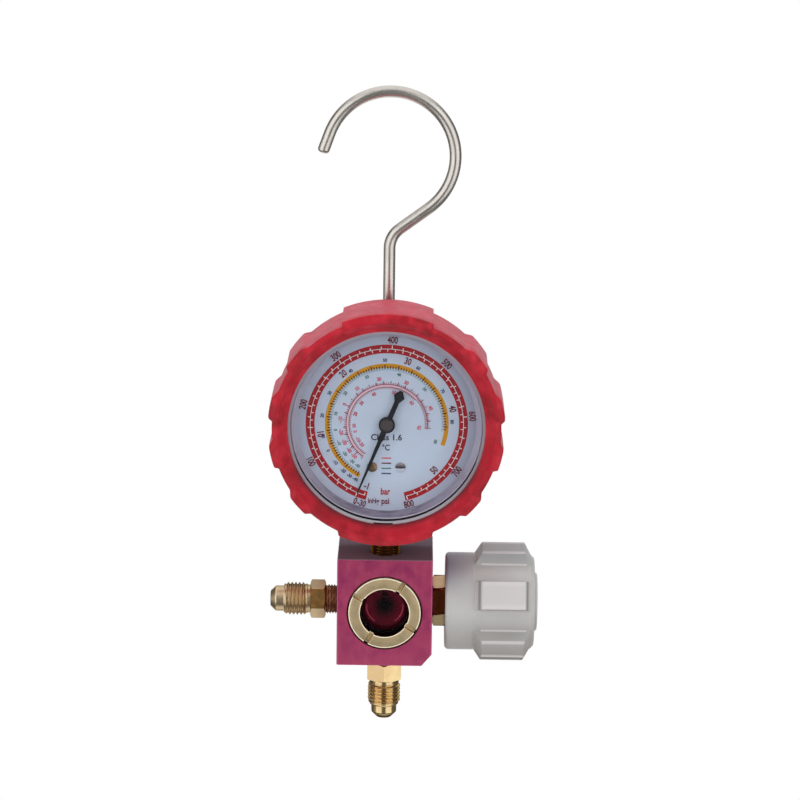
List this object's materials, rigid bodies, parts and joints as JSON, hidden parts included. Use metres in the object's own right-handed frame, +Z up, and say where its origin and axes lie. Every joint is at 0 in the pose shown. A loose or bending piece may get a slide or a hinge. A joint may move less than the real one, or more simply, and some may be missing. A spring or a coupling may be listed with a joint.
{
  "type": "single gauge manifold",
  "caption": "Square valve block with a pressure gauge in a lobed rubber boot, a sight glass, a side knob, flare ports and a swivelling wire hook to hang it by.",
  "frame": {"origin": "underside of the hook's crown, where the manifold hangs, on the axis of the hook's shank", "axes": "+X towards the knob, +Y to the back, away from the dial, +Z up"},
  "size_m": [0.0907, 0.0449, 0.2154],
  "materials": {
    "anodised_block": "satin anodised magenta",
    "brass": "machined, bright",
    "bronze": "drawn, plain",
    "steel_wire": "satin, drawn",
    "steel": "plain",
    "bezel_steel": "bright",
    "boot_rubber": "matte red",
    "seal_rubber": "matte black",
    "seat_plastic": "matte white",
    "knob_grey": "satin warm grey",
    "surround_grey": "satin",
    "dial_print": "satin white with printed scales",
    "pointer_black": "satin black",
    "clear_window": "clear",
    "sight_glass": "clear"
  },
  "bodies": {
    "manifold": {"bonnet_oring": "seal_rubber", "bottom_port_fitting": "brass", "bourdon_tube": "bronze", "dial_plate": "dial_print", "dial_screws": "steel", "dial_surround": "surround_grey", "gauge_bezel": "bezel_steel", "gauge_boot": "boot_rubber", "gauge_case": "steel", "gauge_socket": "brass", "gauge_window": "clear_window", "hairspring": "bronze", "hairspring_stud": "bronze", "hook_grub_screw": "steel", "left_port_fitting": "brass", "manifold_block": "anodised_block", "movement_back_plate": "brass", "movement_front_plate": "brass", "movement_pillars": "brass", "movement_screws": "steel", "sight_glass": "sight_glass", "sight_glass_oring": "seal_rubber", "sight_glass_ring": "brass", "socket_screws": "steel", "tube_tip": "brass", "valve_bonnet": "brass", "window_gasket": "seal_rubber"},
    "poppet": {"swivel_disc": "brass", "valve_seat_disc": "seat_plastic"},
    "handwheel": {"valve_stem": "steel", "stem_orings": "seal_rubber", "knob": "knob_grey", "knob_screw": "steel", "knob_cap": "knob_grey"},
    "pointer": {"pointer": "pointer_black", "pointer_hub": "brass", "pinion_arbor": "steel"},
    "sector": {"sector_gear": "brass"},
    "link": {"link": "brass", "link_screw": "steel"},
    "hook": {"hook": "steel_wire"}
  },
  "joints": [
    {"name": "knob_turn", "type": "hinge", "parent": "poppet", "child": "handwheel", "pos_m": [0, -0.01, -0.17], "axis": [1, 0, 0], "range_deg": [0, 1080]},
    {"name": "valve_travel", "type": "slide", "parent": "manifold", "child": "poppet", "axis": [1, 0, 0], "range_m": [0, 0.003]},
    {"name": "pointer_turn", "type": "hinge", "parent": "manifold", "child": "pointer", "pos_m": [0, -0.016, -0.1056], "axis": [0, 1, 0], "range_deg": [-6, 322], "stiffness_Nm_per_rad": 0.0002},
    {"name": "sector_swing", "type": "hinge", "parent": "manifold", "child": "sector", "pos_m": [0, -0.016, -0.12045], "axis": [0, 1, 0], "range_deg": [-32.3, 0.7]},
    {"name": "link_swing", "type": "hinge", "parent": "sector", "child": "link", "pos_m": [0.00556, -0.016, -0.1227], "axis": [0, 1, 0], "range_deg": [-0.7, 32.3]},
    {"name": "hook_swivel", "type": "hinge", "parent": "manifold", "child": "hook", "pos_m": [0, 0, -0.1515], "axis": [0, 0, 1], "continuous": true}
  ],
  "couplings": [
    {"joint": "valve_travel", "follows": "knob_turn", "m_per_rad": 0.00015915},
    {"joint": "sector_swing", "follows": "pointer_turn", "ratio": -0.1},
    {"joint": "link_swing", "follows": "pointer_turn", "ratio": 0.1}
  ]
}
